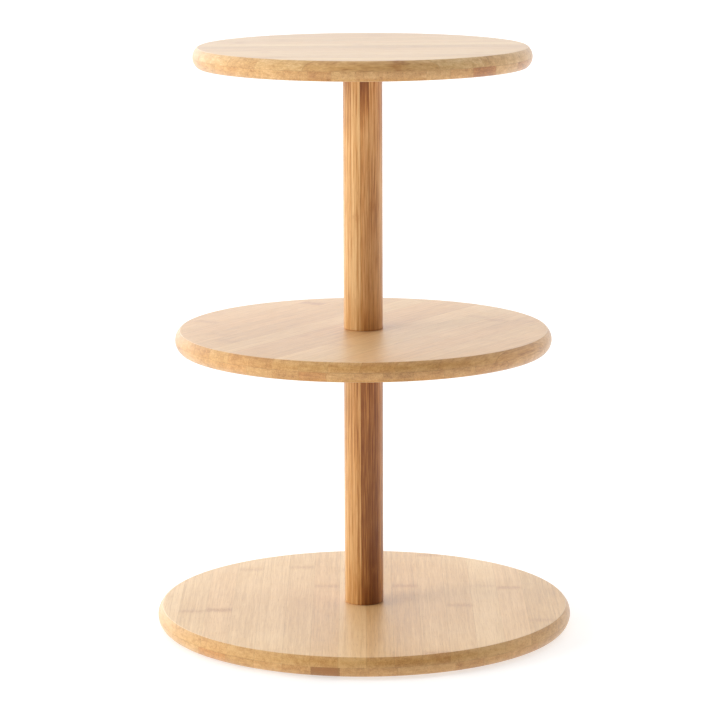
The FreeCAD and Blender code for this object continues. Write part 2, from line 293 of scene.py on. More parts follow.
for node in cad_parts:
    if not node.endswith("_insert"):
        continue
    low, high = rise(node)
    inside = levels(low + MOUTH, high - MOUTH, PITCH)
    outside = levels(low + MOUTH, high - MOUTH, COARSE_PITCH / 2)
    rings = [(female_thread, height) for height in inside]
    rings += [(thread_radius, high), (insert_radius - MOUTH, high)]
    rings += [(coarse_thread, height) for height in reversed(outside)]
    rings += [(insert_radius - MOUTH, low), (thread_radius, low)]
    fittings[node] = turn(node + "_threaded", rings, segments=48, closed=True, sharp_degrees=50)
print("threaded pieces:", ", ".join(sorted(fittings)))

# %% [markdown]
# ## The bolt and its washer
#
# Turn the stand over and this is the only metal in sight: a button-head bolt with a hexagon socket,
# sunk in the counterbore on a plain washer. The head is forged, so its dome is smooth. The socket is
# punched, which leaves a crisp hexagon with a shallow drilled cone at the bottom.

# %% The bolt's head
HEAD_FLAT = 3.0 * MM  # radius of the flat around the socket
HEAD_DOME = 5.0 * MM
KEY_FLATS = 4.0 * MM
BRIM_EDGE = 0.15 * MM
washer_low, washer_high = rise("base_washer")
head_radius = half_width("base_bolt")
bolt_low, bolt_high = rise("base_bolt")


def hexagon(angle, height):
    return KEY_FLATS / 2 / math.cos(angle % (math.tau / 6) - math.tau / 12)


def dome(steps):
    """The head's side, as an arc from the flat to the brim."""
    start, end = Vector((HEAD_FLAT, bolt_low)), Vector((head_radius, washer_low - BRIM_EDGE))
    chord = end - start
    outwards = Vector((chord.y, -chord.x)).normalized()
    centre = (start + end) / 2 - outwards * math.sqrt(HEAD_DOME**2 - chord.length**2 / 4)
    points = [start.lerp(end, step / steps) - centre for step in range(steps + 1)]
    return [tuple(centre + point.normalized() * HEAD_DOME) for point in points]


print(f"head {2 * head_radius / MM:.1f} mm across, key {KEY_FLATS / MM:.0f} mm")

# %% Turn the bolt and washer
KEY_DEPTH = 2.1 * MM
KEY_CONE = 0.25 * MM  # the drilled cone at the bottom of the socket
KEY_EDGE = 0.15 * MM
KEY_MOUTH = 2.45 * MM
SHANK_PLAIN = 0.5 * MM  # under the head, before the thread starts
WASHER_HOLE = 3.2 * MM
WASHER_EDGE = 0.3 * MM
washer_radius = half_width("base_washer")
rings = [(0, bolt_low + KEY_DEPTH), (hexagon, bolt_low + KEY_DEPTH - KEY_CONE)]
rings += [(hexagon, bolt_low + KEY_EDGE), (KEY_MOUTH, bolt_low), *dome(10)]
rings += [(head_radius - BRIM_EDGE, washer_low), (thread_radius, washer_low)]
threaded = levels(washer_low + SHANK_PLAIN, bolt_high - STUD_CHAMFER, PITCH)
rings += [(male_thread, height) for height in threaded]
rings += [(thread_radius - STUD_CHAMFER, bolt_high), (0, bolt_high)]
fittings["base_bolt"] = turn("base_bolt_forged", rings, segments=96, sharp_degrees=35)

rings = [(WASHER_HOLE, washer_low), (WASHER_HOLE, washer_high), (washer_radius, washer_high)]
rings += arc(washer_radius - WASHER_EDGE, washer_low + WASHER_EDGE, WASHER_EDGE, 0, -90, 5)
fittings["base_washer"] = turn("base_washer_stamped", rings, segments=96, closed=True)
print(f"bolt {(bolt_high - bolt_low) / MM:.1f} mm long, washer {2 * washer_radius / MM:.0f} mm across")

# %% [markdown]
# ## The feet
#
# Four thin rubber pads keep the base off the worktop, so that a splash can dry under it. They are
# moulded discs with a rounded lower edge and a slight dish, which is how such pads grip.

# %% Mould the feet
DISH = 0.15 * MM
FOOT_EDGE = 0.6 * MM
TOP_BEVEL = 0.2 * MM
feet = {}
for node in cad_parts:
    if not node.startswith("foot_pad"):
        continue
    low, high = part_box(node)
    radius, height = (high.x - low.x) / 2, high.z - low.z
    rings = [(0, DISH), (radius * 0.5, DISH), (radius * 0.72, DISH * 0.4), (radius - FOOT_EDGE, 0)]
    rings += arc(radius - FOOT_EDGE, FOOT_EDGE, FOOT_EDGE, -90, 0, 6)[1:]
    rings += [(radius, height - TOP_BEVEL), (radius - TOP_BEVEL, height), (0, height)]
    foot = turn(node + "_moulded", rings, segments=64)
    foot.data.transform(Matrix.Translation((low + high) / 2 - Vector((0, 0, height / 2))))
    feet[node] = foot
print("feet:", len(feet))

# %% [markdown]
# ## Hand the pieces to the frame
#
# Each finished piece takes the place of its plain one and moves with the root body.

# %% Replace the plain pieces
pieces = {**boards, **posts, **fittings, **feet}
for node, piece in pieces.items():
    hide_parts(node)
    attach(piece, "root")
print("replaced", len(pieces), "of", len(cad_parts), "pieces")

# %% [markdown]
# ## Wires
#
# A shader is a sum, and it reads best when it is written as one. A wire is what one node hands to the
# next. Wires add, subtract, multiply and divide like numbers, and each of these becomes a Math node.
# `make` adds any other node: its settings first, then its inputs, which are numbers, colours or wires.


# %% The wire
def find(sockets, key):
    """A socket by number, by identifier or by the name on it."""
    if isinstance(key, int):
        return sockets[key]
    named = [socket for socket in sockets if key in (socket.identifier, socket.name)]
    return named[0]


class Wire:
    """A value, colour or vector on its way from one node to another."""

    def __init__(self, socket):
        self.socket = socket

    def make(self, kind, inputs, output=0, stops=None, between="LINEAR", **settings):
        tree = self.socket.id_data
        node = tree.nodes.new(kind)
        for setting, value in settings.items():
            setattr(node, setting, value)
        if stops:
            node.color_ramp.interpolation = between
            for _ in stops[2:]:
                node.color_ramp.elements.new(1)
            for element, (place, colour) in zip(node.color_ramp.elements, stops):
                element.position = place
                element.color = colour
        for key, value in inputs.items():
            socket = find(node.inputs, key)
            if isinstance(value, Wire):
                tree.links.new(value.socket, socket)
            else:
                socket.default_value = value
        return Wire(find(node.outputs, output))

    def also(self, output):
        """Another output of the node that this wire comes from."""
        return Wire(find(self.socket.node.outputs, output))

    def sum(self, operation, *values):
        return self.make("ShaderNodeMath", dict(enumerate(values)), operation=operation)

    def __add__(self, other):
        return self.sum("ADD", self, other)

    def __radd__(self, other):
        return self.sum("ADD", other, self)

    def __sub__(self, other):
        return self.sum("SUBTRACT", self, other)

    def __rsub__(self, other):
        return self.sum("SUBTRACT", other, self)

    def __mul__(self, other):
        return self.sum("MULTIPLY", self, other)

    def __rmul__(self, other):
        return self.sum("MULTIPLY", other, self)

    def __truediv__(self, other):
        return self.sum("DIVIDE", self, other)

    def __rtruediv__(self, other):
        return self.sum("DIVIDE", other, self)

    def floor(self):
        return self.sum("FLOOR", self)

    def fract(self):
        return self.sum("FRACT", self)

    def size(self):
        """The value without its sign."""
        return self.sum("ABSOLUTE", self)

    def at_least(self, other):
        return self.sum("MAXIMUM", self, other)

    def at_most(self, other):
        return self.sum("MINIMUM", self, other)

    def fade(self, start, end):
        """0 at start and 1 at end, smoothly between them, whichever is the larger."""
        inputs = {"Value": self, "From Min": start, "From Max": end}
        return self.make("ShaderNodeMapRange", inputs, interpolation_type="SMOOTHSTEP")

    def noise(self, detail=2, roughness=0.5, scale=1):
        """Smooth noise from about 0 to 1 at the place that this wire holds."""
        inputs = {"Vector": self, "Scale": scale, "Detail": detail, "Roughness": roughness}
        return self.make("ShaderNodeTexNoise", inputs)

    def ramp(self, stops, between="LINEAR"):
        """The colour that a ramp of (place, colour) stops has for this value."""
        return self.make("ShaderNodeValToRGB", {"Fac": self}, stops=stops, between=between)

    def towards(self, other, amount):
        """This colour mixed with another."""
        inputs = {"Factor_Float": amount, "A_Color": self, "B_Color": other}
        return self.make("ShaderNodeMix", inputs, "Result_Color", data_type="RGBA")

    def stained(self, other, amount=1):
        """This colour seen through a stain of another."""
        inputs = {"Factor_Float": amount, "A_Color": self, "B_Color": other}
        return self.make("ShaderNodeMix", inputs, "Result_Color", data_type="RGBA", blend_type="MULTIPLY")

    def split(self):
        """The x, y and z of a place, as three wires."""
        x = self.make("ShaderNodeSeparateXYZ", {0: self})
        return x, x.also("Y"), x.also("Z")


print("a wire can", ", ".join(sorted(name for name in vars(Wire) if not name.startswith("_"))))

# %% [markdown]
# Every material below starts the same way: a Principled shader, and the place being shaded. The
# place is in the object's own coordinates, in millimetres, so a grain has its real size and stays
# where it is on the wood when the camera moves. Relief comes from a height through a Bump node,
# with its depth given as a real length.


# %% A material's first nodes
def point(x, y, z):
    """Three wires or numbers as one place. At least one is a wire."""
    wire = next(value for value in (x, y, z) if isinstance(value, Wire))
    return wire.make("ShaderNodeCombineXYZ", {"X": x, "Y": y, "Z": z})


def grey(level):
    return level, level, level, 1


def new_material(name):
    """A material, its shader, and the place being shaded, in millimetres."""
    material = bpy.data.materials.new(name)
    material.use_nodes = True
    tree = material.node_tree
    shader = tree.nodes["Principled BSDF"]
    metres = Wire(tree.nodes.new("ShaderNodeTexCoord").outputs["Object"])
    place = metres.make("ShaderNodeVectorMath", {0: metres, "Scale": 1 / MM}, operation="SCALE")
    return material, shader, place


def feed(shader, name, wire):
    wire.socket.id_data.links.new(wire.socket, shader.inputs[name])


def emboss(shader, height, depth):
    """Turns a height from 0 to 1 into relief of a real depth in metres."""
    inputs = {"Height": height, "Distance": depth, "Strength": 1.0}
    feed(shader, "Normal", height.make("ShaderNodeBump", inputs))


print("a place is scaled by", 1 / MM)

# %% [markdown]
# ## Bamboo, strip by strip
#
# Bamboo is split and planed into strips, and the strips are glued side by side. To the eye it is
# three things at once: the strips, each with its own shade; the fine fibres that run along them; and
# the nodes, where the cane had its rings, which cross a strip as a short darker smudge.
#
# So every strip gets a card that says how light it is, how red, where its node falls and how strong
# that is. A few cards are listed one by one, because this stand has some strips that stand out. The
# rest are dealt from a seeded pack, so that the same pack always deals the same cards.

# %% Cards for the strips
RED_SPREAD = 0.08
NODE_REACH = 130  # mm from the middle of a block, where dealt nodes fall
FAINT = (0.15, 0.45)  # strength of a node that nobody picked


def along_and_across(x, y, grain):
    """Board coordinates of a point on a plate, in millimetres. grain is in degrees from +X."""
    turn_by = math.radians(grain)
    along = x * math.cos(turn_by) + y * math.sin(turn_by)
    return along, y * math.cos(turn_by) - x * math.sin(turn_by)


def deal(count, seed, light=0.55, red=0.2, spread=0.07):
    """A card (lightness, redness, node's place in mm, node's strength) for each strip."""
    pick = random.Random(seed)
    cards = []
    for _ in range(count):
        own_light = min(1, max(0, pick.gauss(light, spread)))
        own_red = min(1, max(0, pick.gauss(red, RED_SPREAD)))
        cards.append([own_light, own_red, pick.uniform(-NODE_REACH, NODE_REACH), pick.uniform(*FAINT)])
    return cards


def board_cards(radius, grain, strip, first_joint, pack, nodes=(), shades=()):
    """Cards for a round board. pack is how the ordinary ones are dealt, nodes are (x, y, strength)
    and shades are (x, y, light, red)."""
    count = 2 * math.ceil(radius / strip) + 2
    cards = deal(count, **pack)

    def number(across):
        return math.floor((across - first_joint) / strip) + count // 2

    for x, y, strength in nodes:
        along, across = along_and_across(x, y, grain)
        cards[number(across)][2:] = [along, strength]
    for x, y, *shade in shades:
        along, across = along_and_across(x, y, grain)
        cards[number(across)][:2] = shade
    return cards


print("a card:", [round(value, 2) for value in deal(1, seed=1)[0]])

# %% [markdown]
# Boards and posts are the same material, glued up in different ways. A block holds what differs, so
# that one recipe serves all eight of them.


# %% How a block is glued up
@dataclass
class Block:
    """Bamboo strips glued into one piece. Lengths are in millimetres."""

    cards: list
    first: int  # number of the card for the strip at 0
    strip: float  # width of a strip
    layer: float  # depth of a layer of strips
    per_layer: int  # cards in a layer, or 0 if there is one layer
    shades: list  # colours from dark to light
    figure: float  # strength of the grain
    fine: float  # scale of the grain's width
    seam: float  # darkness of the joints
    # On a board this is the reach of the node's own darker tone. On the posts it is 50 mm, and at the     top of the upper post it paints the shade under the top plate.
    node_tone_and_painted_shade_reach: float  # how far the shade around a node reaches
    gloss: float  # amount of lacquer
    glue: float = None  # height of the glue line between two boards
    thirst: float = 0.0  # how much darker the finish leaves a board's rim


def find_strip(block, c, d):
    """The number of the strip at c across and d deep, and the distance to the joints at its sides
    and to those between layers."""
    steps, layers = c / block.strip, d / block.layer
    step, layer = steps.floor(), layers.floor()
    to_side = (0.5 - (steps - step - 0.5).size()) * block.strip
    to_layer = (0.5 - (layers - layer - 0.5).size()) * block.layer
    return step + layer * block.per_layer + block.first, to_side, to_layer


print("a block has", ", ".join(Block.__annotations__))

# %% [markdown]
# The cards lie in a colour ramp with hard steps, one step a card, and a strip looks up its own. A
# ramp gives three numbers as red, green and blue. The fourth, a node's strength, has a second ramp.

# %% Reading a card
LENGTH_RANGE = 400.0  # a node's place is stored in the ramp as a share of this, in mm


def read_card(block, number):
    """A strip's lightness, its redness, its node's place in mm and its node's strength."""
    count = len(block.cards)
    looks = []
    strengths = []
    for i, (light, red, node_place, strength) in enumerate(block.cards):
        looks.append((i / count, (light, red, node_place / LENGTH_RANGE + 0.5, 1)))
        strengths.append((i / count, grey(strength)))
    share = (number + 0.5) / count
    card = share.ramp(looks, "CONSTANT")
    light = card.make("ShaderNodeSeparateColor", {0: card})
    node_place = (light.also("Blue") - 0.5) * LENGTH_RANGE
    return light, light.also("Green"), node_place, share.ramp(strengths, "CONSTANT")


print(f"nodes can be placed within {LENGTH_RANGE / 2:.0f} mm of the middle")

# %% [markdown]
# The fibres come from noise stretched along the strip. To stretch noise, divide the place by the
# size that its grains should have in each direction. Three sizes do it here: streaks several
# millimetres wide, fibres finer than one, and threads finer still, which also make the pores. Each
# strip shifts the noise by its own number, so that no streak runs across a joint. The noise is
# solid, so where the rim cuts through the strips it shows the ends of the fibres as fine dots, as
# real end grain does.

# %% Fibres
SWAY = (40, 9, 9)  # grain sizes in mm: along the strip, across it and through it
STREAK = (150, 2.6, 3.5)
FIBRE = (24, 0.85, 1.0)
THREAD = (9, 0.45, 0.5)
CLOUD = (55, 30, 30)
BEND = 1.4  # mm that a fibre may wander sideways
STRIP_SHIFT = 61.7  # from one strip's noise to the next one's


def stretched(size, a, c, d, shift=0, slip=0):
    """The place for noise with grains of this size. shift and slip move it along and through."""
    return point(a / size[0] + shift, c / size[1], d / size[2] + slip)


def fibres_of(block, a, c, d, number):
    """The place across the strip, bent as the fibres bend, and streaks, fibres and threads."""
    shift = number * STRIP_SHIFT
    sway = stretched(SWAY, a, c, d, shift).noise(1) - 0.5
    bent = (c + sway * BEND * block.fine) / block.fine
    streaks = stretched(STREAK, a, bent, d, shift, number).noise(2, 0.55)
    fibres = stretched(FIBRE, a, bent, d, shift).noise(3, 0.62)
    threads = stretched(THREAD, a, bent, d, shift).noise(2, 0.6)
    return bent, streaks, fibres, threads


print(f"fibres are {FIBRE[1]} mm wide and {FIBRE[0]} mm long")

# %% [markdown]
# At a node the fibres tangle and take more colour. It shows as a ragged band of short dark grains
# across the strip, in a shade that fades out along it. The band is faint near the joints, where the
# ridge on the cane was planed away. A distance that wraps round puts the same cane's next node one
# spacing further on.

# %% Nodes
NODE_SPACING = 270.0
NODE_EDGES = (6.0, 0.5)  # mm from the middle of a node, where the band starts and is full
RAGGED = (6, 3.2, 1)
RAGGED_BY = 8
KNOTTED = (2.2, 0.9, 0.8)


def node_of(block, a, c, d, bent, number, node_place, strength, to_side):
    """A node's dark grains, and the darker tone around it, both from 0 to about 1. Near the top of the
    upper post that tone is partly painted shade under the top plate.
    """
    wrapped = ((a - node_place) / NODE_SPACING + 0.5).fract()
    ragged = (stretched(RAGGED, a, c, number).noise(3, 0.65) - 0.5) * RAGGED_BY
    away = ((wrapped - 0.5) * NODE_SPACING + ragged).size()
    inside = to_side.fade(0.0, 2.5 * block.fine) * 0.7 + 0.3
    grains = stretched(KNOTTED, a, bent, d, 0, number).noise(2, 0.7).fade(0.42, 0.6)
    marks = (away.fade(*NODE_EDGES) * strength * inside).at_most(1) * (0.25 + 0.75 * grains)
    return marks, away.fade(block.node_tone_and_painted_shade_reach, 1.0) * strength


print(f"nodes repeat every {NODE_SPACING:.0f} mm")

# %% [markdown]
# A board's rim needs more than its faces. It is end grain, which drinks the finish unevenly and
# goes darker and blotchy. Its arrises get a pale line of painted highlight, where light would catch
# the corners. Halfway down runs the glue line between the two boards, which comes and goes, because
# glue squeezes out unevenly.

# %% The rim
RIM_STAIN = (0.82, 0.70, 0.52, 1)
# ARRIS_HIGHLIGHT is a painted highlight: the pale colour laid along both arrises of a board's rim.
ARRIS_HIGHLIGHT = (0.98, 0.86, 0.66, 1)
BLOTCH = (8, 8, 2)
SQUEEZE = (20, 20, 1)
FACE_TO_RIM = (0.97, 0.76)  # how nearly upright the surface's normal is on a face and on a rim
GLUE_LINE = (0.5, 0.1)  # mm from its middle, where the glue line starts and is full


def rim_of(place):
    """0 on a flat face and 1 on a rim, told apart by which way the surface looks."""
    normal = place.make("ShaderNodeNewGeometry", {}, "Normal")
    return normal.split()[2].size().fade(*FACE_TO_RIM)


def glue_line_of(block, x, y, z):
    """How much of the glue line there is, up to a quarter."""
    patchy = stretched(SQUEEZE, x, y, 4.5).noise(2, 0.6).fade(0.4, 0.65)
    return (z - block.glue).size().fade(*GLUE_LINE) * patchy * 0.25


print(f"blotches are {BLOTCH[0]} mm long, and the glue line comes and goes every {SQUEEZE[0]} mm")

# %% [markdown]
# The finish is a thin satin lacquer, worn a little thin in patches. It is the shader's coat, and the
# bamboo under it is rougher. Fibres stand up very slightly, and pores and joints lie below them.

# %% Lacquer
LACQUER = {
    "Coat Roughness": 0.45,
    "Coat IOR": 1.48,
    "Sheen Weight": 0.04,
    "Sheen Roughness": 0.4,
    "Specular IOR Level": 0.2,
}
SCUFF = (7, 7, 7)
GRAIN_RELIEF = 0.030 * MM


def lacquer(shader, gloss, scuffs, fibres, threads, pores, line, node_mark):
    """Feeds everything but the colour. line is how much of a joint there is."""
    feed(shader, "Roughness", 0.40 + (fibres - 0.5) * 0.16 + (scuffs - 0.5) * 0.14 + line * 0.2)
    feed(shader, "Coat Weight", gloss - (scuffs.fade(0.45, 0.75) * 0.10 + line * 0.4 + pores * 0.12))
    for name, value in LACQUER.items():
        shader.inputs[name].default_value = value
    relief = fibres * 0.35 + threads * 0.2 - pores * 0.25 - line * 0.9 + node_mark * 0.25 + scuffs * 0.3
    emboss(shader, relief, GRAIN_RELIEF)


print(f"grain stands {GRAIN_RELIEF / MM:.3f} mm proud")

# %% [markdown]
# Now the recipe itself. The card's lightness, the grain, slow clouds and the shade of the nodes add
# up to one tone, and the tone picks a colour from the block's shades. Stains multiply that colour,
# as a real stain does: red strips, thirsty rim, pores. Glue and node marks cover it instead, and so
# does a painted highlight along the rim's arrises.

# %% The recipe for bamboo
RED_STAIN = (1.0, 0.74, 0.55, 1)
PORE_STAIN = (0.62, 0.50, 0.42, 1)
SMUDGE = (0.42, 0.15, 0.03, 1)
GLUE = (0.13, 0.055, 0.02, 1)
GLUE_EDGES = (0.16, 0.05)  # mm from the middle of a joint, where it starts and is full
STREAK_TONE, FIBRE_TONE, CLOUD_TONE = 0.6, 0.9, 0.35
BLOTCH_TONE, HALO_TONE = 1.3, 0.2


def bamboo(name, block, along, across, depth):
    """A solid bamboo material. along, across and depth take the place's x, y and z wires and give
    the place in the block."""
    material, shader, place = new_material(name)
    x, y, z = place.split()
    a, c, d = along(x, y, z), across(x, y, z), depth(x, y, z)
    number, to_side, to_layer = find_strip(block, c, d)
    light, red, node_place, strength = read_card(block, number)
    bent, streaks, fibres, threads = fibres_of(block, a, c, d, number)
    node_mark, node_tone_and_painted_shade = node_of(block, a, c, d, bent, number, node_place, strength, to_side)

    clouds = stretched(CLOUD, a, c, d, 0, 7.3).noise(2, 0.5)
    grain = ((streaks - 0.5) * STREAK_TONE + (fibres - 0.5) * FIBRE_TONE) * block.figure
    # Subtracting the node's tone darkens the strip; near the top of the upper post this is painted shade.
    tone = light + grain + (clouds - 0.5) * CLOUD_TONE - node_tone_and_painted_shade * HALO_TONE
    has_rim = block.glue is not None
    if has_rim:
        rim = rim_of(place)
        blotches = stretched(BLOTCH, x, y, z, 0, number).noise(3, 0.7)
        tone = tone + (blotches - 0.5) * rim * BLOTCH_TONE

    colour = tone.ramp(block.shades).stained(RED_STAIN, red + (streaks - 0.5) * 0.3)
    if has_rim:
        # Painted highlight: the colour pales along both arrises, where the rim meets a face.
        arris_highlight = rim * (1 - rim) * 4
        colour = colour.stained(RIM_STAIN, rim * block.thirst).towards(ARRIS_HIGHLIGHT, arris_highlight * 0.8)
    pores = threads.fade(0.60, 0.74)
    colour = colour.stained(PORE_STAIN, pores * 0.75).towards(SMUDGE, node_mark * 0.6)
    line = to_side.at_most(to_layer).fade(*GLUE_EDGES) * block.seam
    colour = colour.towards(GLUE, line * 0.6)
    if has_rim:
        glue_line = glue_line_of(block, x, y, z)
        colour = colour.towards(GLUE, glue_line * 0.7)
        line = line.at_least(glue_line)

    feed(shader, "Base Color", colour)
    scuffs = stretched(SCUFF, x, y, z).noise(3, 0.65)
    lacquer(shader, block.gloss, scuffs, fibres, threads, pores, line, node_mark)
    return material


print(f"a joint is {2 * GLUE_EDGES[0]:.2f} mm wide")

# %% [markdown]
# ## Finish the six boards
#
# Each plate's two boards are glued with their grain at different angles, so that the plate stays
# flat. Strips are about 19 mm wide. Strips that stand out on this stand, by a node or by their
# shade, are picked by a point that lies on them, in millimetres from the middle of the plate.


# %% From a board to its material
GOLD = [
    (0.0, (0.41, 0.21, 0.065, 1)),
    (0.3, (0.57, 0.33, 0.125, 1)),
    (0.6, (0.68, 0.43, 0.18, 1)),
    (1.0, (0.82, 0.58, 0.30, 1)),
]
BOARD_LOOK = dict(shades=GOLD, figure=1.3, fine=1.0, seam=0.4, node_tone_and_painted_shade_reach=11.0, gloss=1.0)
HAIR = 0.001  # mm, keeps the glued face itself inside its board's layer


def board_material(node, grain, strip, first_joint, pack, thirst, nodes=(), shades=()):
    cards = board_cards(half_width(node) / MM, grain, strip, first_joint, pack, nodes, shades)
    turn_by = math.radians(grain)
    cosine, sine = math.cos(turn_by), math.sin(turn_by)
    thick = board_thickness / MM
    glue = glue_level[node.split("_")[0]] / MM
    below = 0 if "upper" in node else -thick

    def along(x, y, z):
        return x * cosine + y * sine

    def across(x, y, z):
        return y * cosine - x * sine - first_joint

    def depth(x, y, z):
        return z - glue - below - HAIR

    block = Block(cards, len(cards) // 2, strip, 2 * thick, 0, glue=glue, thirst=thirst, **BOARD_LOOK)
    return bamboo(node, block, along, across, depth)


print("shades of a board:", len(GOLD))

# %% Each board's grain, strips and marks
# The packs are dealt lighter for the base and middle upper boards (0.68 and 0.62) and darker for the top
# (0.5). That is painted light: it offsets the shade the upper plates cast on the lower ones and the brighter
# reflection on the top plate's face.
plies = {
    "base_upper_ply": dict(
        grain=90, strip=19.3, first_joint=-1.3, pack=dict(seed=11, light=0.68, red=0.06), thirst=1.0,
        nodes=[(-104, -25, 1.2), (-124, -28, 0.6), (-21, 41, 0.65), (27, 41, 0.7), (107, 35, 0.8),
               (65, -14, 0.65), (-44, 96, 0.55), (46, -137, 0.8), (120, -54, 0.5), (-90, 90, 0.5)],
        # The pale, unreddened cards at x -146 and -126 are painted light: they pale the left end of the         rim where the left soft box bleaches it.
        shades=[(-146, -20, 0.9, 0.0), (-126, -80, 0.75, 0.0)],
    ),
    "base_lower_ply": dict(
        grain=90, strip=19.9, first_joint=-3.0, pack=dict(seed=12, light=0.58, red=0.15, spread=0.1),
        thirst=0.9, nodes=[(-27, -147.5, 0.9)],
        # Here too the cards at x -126 and -146 are painted light on the rim's left end; the cards at -27 and         -107 are the board's real dark and reddish patches.
        shades=[(-27, -147, 0.1, 0.0), (-107, -105, 0.6, 0.5), (-126, -80, 0.8, 0.0), (-146, -20, 0.9, 0.0)],
    ),
    "middle_upper_ply": dict(
        grain=56, strip=19.3, first_joint=4.0, pack=dict(seed=13, light=0.62), thirst=0.85,
        nodes=[(-30, 101, 1.2), (-109, 25, 0.7), (14, -98, 0.9), (100, 29, 0.6)],
    ),
    "middle_lower_ply": dict(
        grain=80, strip=19.3, first_joint=2.0, pack=dict(seed=14, spread=0.1), thirst=0.75,
        shades=[(-44, -127, 0.5, 0.5), (-27, -132, 0.45, 0.5), (-127, -45, 0.65, 0.2)],
    ),
    "top_upper_ply": dict(
        grain=3, strip=19.3, first_joint=5.2, pack=dict(seed=15, light=0.5, red=0.15), thirst=0.3,
        nodes=[(23, -118, 0.8)],
    ),
    "top_lower_ply": dict(
        grain=90, strip=16.0, first_joint=5.0, pack=dict(seed=16, spread=0.1), thirst=0.5,
        nodes=[(83, -86, 0.8)], shades=[(83, -86, 0.3, 0.8), (108, -50, 0.4, 0.6)],
    ),
}
for node, choice in plies.items():
    boards[node].data.materials.append(board_material(node, **choice))
print("boards finished:", len(plies))

# %% [markdown]
# ## Finish the two posts
#
# The posts are turned from a block of narrow strips standing on edge, about six millimetres wide, and
# so a post shows four or five of them side by side. Their shades differ much more than the plates'
# do. The block is glued up in two directions, and the second set of joints shows at the sides.

# %% Posts: narrow strips on edge
AMBER = [
    (0.0, (0.22, 0.07, 0.012, 1)),
    (0.3, (0.38, 0.155, 0.038, 1)),
    (0.6, (0.61, 0.31, 0.098, 1)),
    (1.0, (0.80, 0.52, 0.24, 1)),
]
# The posts' node tone reaches 50 mm, so the strong node near the upper post's top paints the top plate's
# shade on it.
POST_LOOK = dict(shades=AMBER, figure=1.5, fine=0.6, seam=0.45, node_tone_and_painted_shade_reach=50.0, gloss=0.55)
STRIP_ON_EDGE = 6.2
BLOCK_LAYER = 19.0
PER_LAYER = 5
OFF_CENTRE = (2.0, 3.0)  # mm, how far the joints lie off the axis, sideways and in depth


def post_material(node, seed, front):
    """front is a card for each strip in sight from the front, from left to right."""
    foot, head = rise(node)
    middle = (foot + head) / 2 / MM
    cards = [list(card) for card in front] + deal(PER_LAYER + 1, seed, spread=0.15)

    def along(x, y, z):
        return z - middle

    def across(x, y, z):
        return x + OFF_CENTRE[0]

    def depth(x, y, z):
        return y + BLOCK_LAYER - OFF_CENTRE[1]

    block = Block(cards, PER_LAYER // 2, STRIP_ON_EDGE, BLOCK_LAYER, PER_LAYER, **POST_LOOK)
    return bamboo(node, block, along, across, depth)


# On the upper post the third card's node, at 92 mm with strength 3.2, sits just under the top plate: partly
# a real dark smudge, partly painted shade from the plate above.
fronts = {
    "upper_post": [(0.70, 0.0, 84, 1.0), (0.82, 0.0, -12, 0.6), (0.66, 0.3, 92, 3.2), (0.66, 0.3, -4, 1.0),
                   (0.70, 0.3, 66, 1.0)],
    "lower_post": [(0.64, 0.0, 40, 0.2), (0.62, 0.1, 30, 0.2), (0.26, 0.25, 60, 0.3), (0.17, 0.25, -68, 0.7),
                   (0.42, 0.35, 10, 0.3)],
}
for seed, (node, front) in enumerate(fronts.items(), start=21):
    posts[node].data.materials.append(post_material(node, seed, front))
print("posts finished:", len(posts))

# %% [markdown]
# ## Plated metal
#
# Zinc plate is a thin crystalline skin, with fine scratches where the parts were tumbled. The inserts
# are yellow-passivated, so they are tinted unevenly. Both are metals, and all their variation is in
# the tint, the roughness and a faint relief.

# %% Plated metals
CRYSTAL_RELIEF = 0.012 * MM
SCRATCH = (2, 1 / 6, 1 / 6)  # mm


def plated(name, pale, dull, roughness):
    material, shader, place = new_material(name)
    crystals = place.noise(3, 0.6, scale=1.6)
    clouds = place.noise(2, 0.5, scale=0.35)
    scratches = stretched(SCRATCH, *place.split()).noise(2, 0.7).fade(0.60, 0.72)
    colour = clouds.fade(0.3, 0.7).ramp([(0, pale), (1, dull)])
    feed(shader, "Base Color", colour.stained(grey(0.7), scratches * 0.5))
    feed(shader, "Roughness", roughness + (crystals - 0.5) * 0.22 + scratches * 0.12)
    shader.inputs["Metallic"].default_value = 1.0
    emboss(shader, crystals * 0.6 - scratches * 0.5, CRYSTAL_RELIEF)
    return material


steel = plated("zinc_plate", (0.78, 0.79, 0.80, 1), (0.60, 0.62, 0.66, 1), 0.30)
passivated = plated("yellow_passivated", (0.80, 0.66, 0.33, 1), (0.62, 0.46, 0.24, 1), 0.38)
for node, piece in fittings.items():
    piece.data.materials.append(passivated if node.endswith("_insert") else steel)
print("metal pieces finished:", len(fittings))

# %% [markdown]
# ## Rubber
#
# Rubber is the opposite of plated metal: no shine to speak of, a moulded grain, and a little dust
# that has settled in patches.

# %% Rubber
BLACK = [(0.3, (0.012, 0.011, 0.010, 1)), (0.7, (0.030, 0.028, 0.026, 1))]
DUST = (0.16, 0.14, 0.12, 1)
MOULD_RELIEF = 0.05 * MM
rubber, shader, place = new_material("foot_rubber")
grain = place.noise(4, 0.7, scale=3.0)
dusty = place.noise(3, 0.6, scale=0.5).fade(0.5, 0.8)
feed(shader, "Base Color", grain.ramp(BLACK).towards(DUST, dusty * 0.5))
feed(shader, "Roughness", 0.72 + (grain - 0.5) * 0.2 + dusty * 0.1)
emboss(shader, grain, MOULD_RELIEF)
for foot in feet.values():
    foot.data.materials.append(rubber)
print("feet finished:", len(feet))

# %% [markdown] ## The floor  A plain pale disc, wide enough to fill the picture from any side. Its
# paper glows a little, less so near the stand, which leaves room there for the stand's own soft
# shadow.

